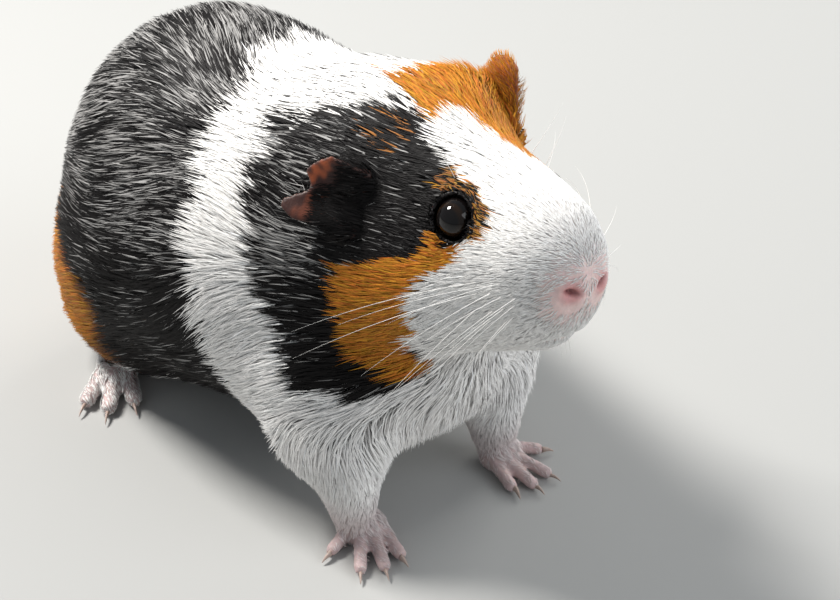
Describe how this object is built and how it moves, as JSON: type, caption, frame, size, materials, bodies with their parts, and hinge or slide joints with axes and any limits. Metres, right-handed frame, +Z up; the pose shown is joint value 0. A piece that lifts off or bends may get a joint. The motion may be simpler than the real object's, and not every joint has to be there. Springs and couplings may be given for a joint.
{
  "type": "guinea pig",
  "caption": "Life-size still model of a short-haired tortoiseshell and white guinea pig standing on all fours, head raised.",
  "frame": {"origin": "middle of the animal's bounding box on the floor under its feet", "axes": "+X from rump to nose, +Y to the animal's left, +Z up"},
  "size_m": [0.1874, 0.1154, 0.1162],
  "materials": {
    "coat_white": "short smooth fur",
    "coat_black": "short glossy fur",
    "coat_ginger": "short smooth fur",
    "ear_skin": "thin dark bare skin",
    "foot_skin": "pinkish bare skin with sparse hair",
    "claw": "horn",
    "eye": "wet glossy"
  },
  "bodies": {
    "root": {"trunk": "coat_white", "neck": "coat_white", "head": "coat_white", "ear_left": "coat_ginger", "ear_right": "ear_skin", "eye_left": "eye", "eye_right": "eye", "foreleg_left": "coat_white", "forefoot_left": "foot_skin", "hindleg_left": "coat_black", "hindfoot_left": "foot_skin", "claw_fore_left_1": "claw", "claw_fore_left_2": "claw", "claw_fore_left_3": "claw", "claw_fore_left_4": "claw", "claw_hind_left_1": "claw", "claw_hind_left_2": "claw", "claw_hind_left_3": "claw", "foreleg_right": "coat_white", "forefoot_right": "foot_skin", "hindleg_right": "coat_black", "hindfoot_right": "foot_skin", "claw_fore_right_1": "claw", "claw_fore_right_2": "claw", "claw_fore_right_3": "claw", "claw_fore_right_4": "claw", "claw_hind_right_1": "claw", "claw_hind_right_2": "claw", "claw_hind_right_3": "claw"}
  },
  "joints": []
}
